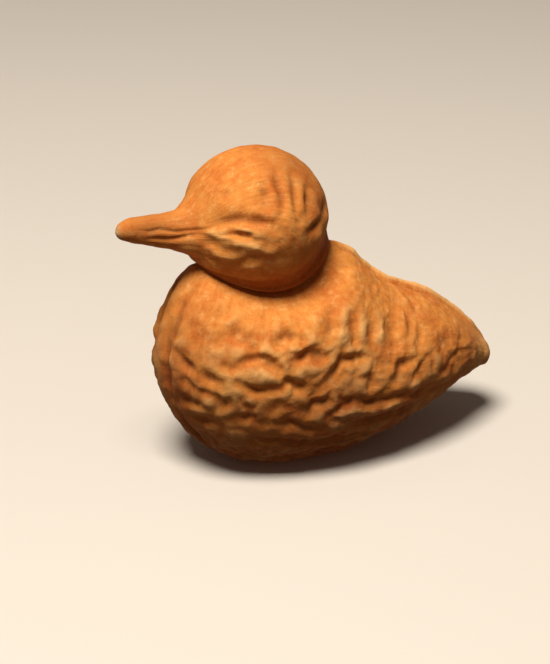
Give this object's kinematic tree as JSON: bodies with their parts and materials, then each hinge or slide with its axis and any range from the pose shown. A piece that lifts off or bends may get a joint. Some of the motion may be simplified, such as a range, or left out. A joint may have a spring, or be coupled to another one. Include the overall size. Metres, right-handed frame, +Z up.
{
  "type": "peanut in its shell",
  "caption": "Unshelled peanut pod: a small ball lobe with a drawn-out tip seated on a large egg-shaped lobe with a blunt tail, netted with ridges and pits.",
  "frame": {"origin": "centre of the small flat spot that the pod rests on, under its weight", "axes": "+X towards the tail and -X towards the drawn-out tip, +Z up from the surface it rests on, Y = 0 is the middle plane that holds both seams"},
  "size_m": [0.0321, 0.0156, 0.0251],
  "materials": {
    "shell": "dry, matt, fibrous, golden tan with browner pits"
  },
  "bodies": {
    "root": {"pod": "shell"}
  },
  "joints": []
}
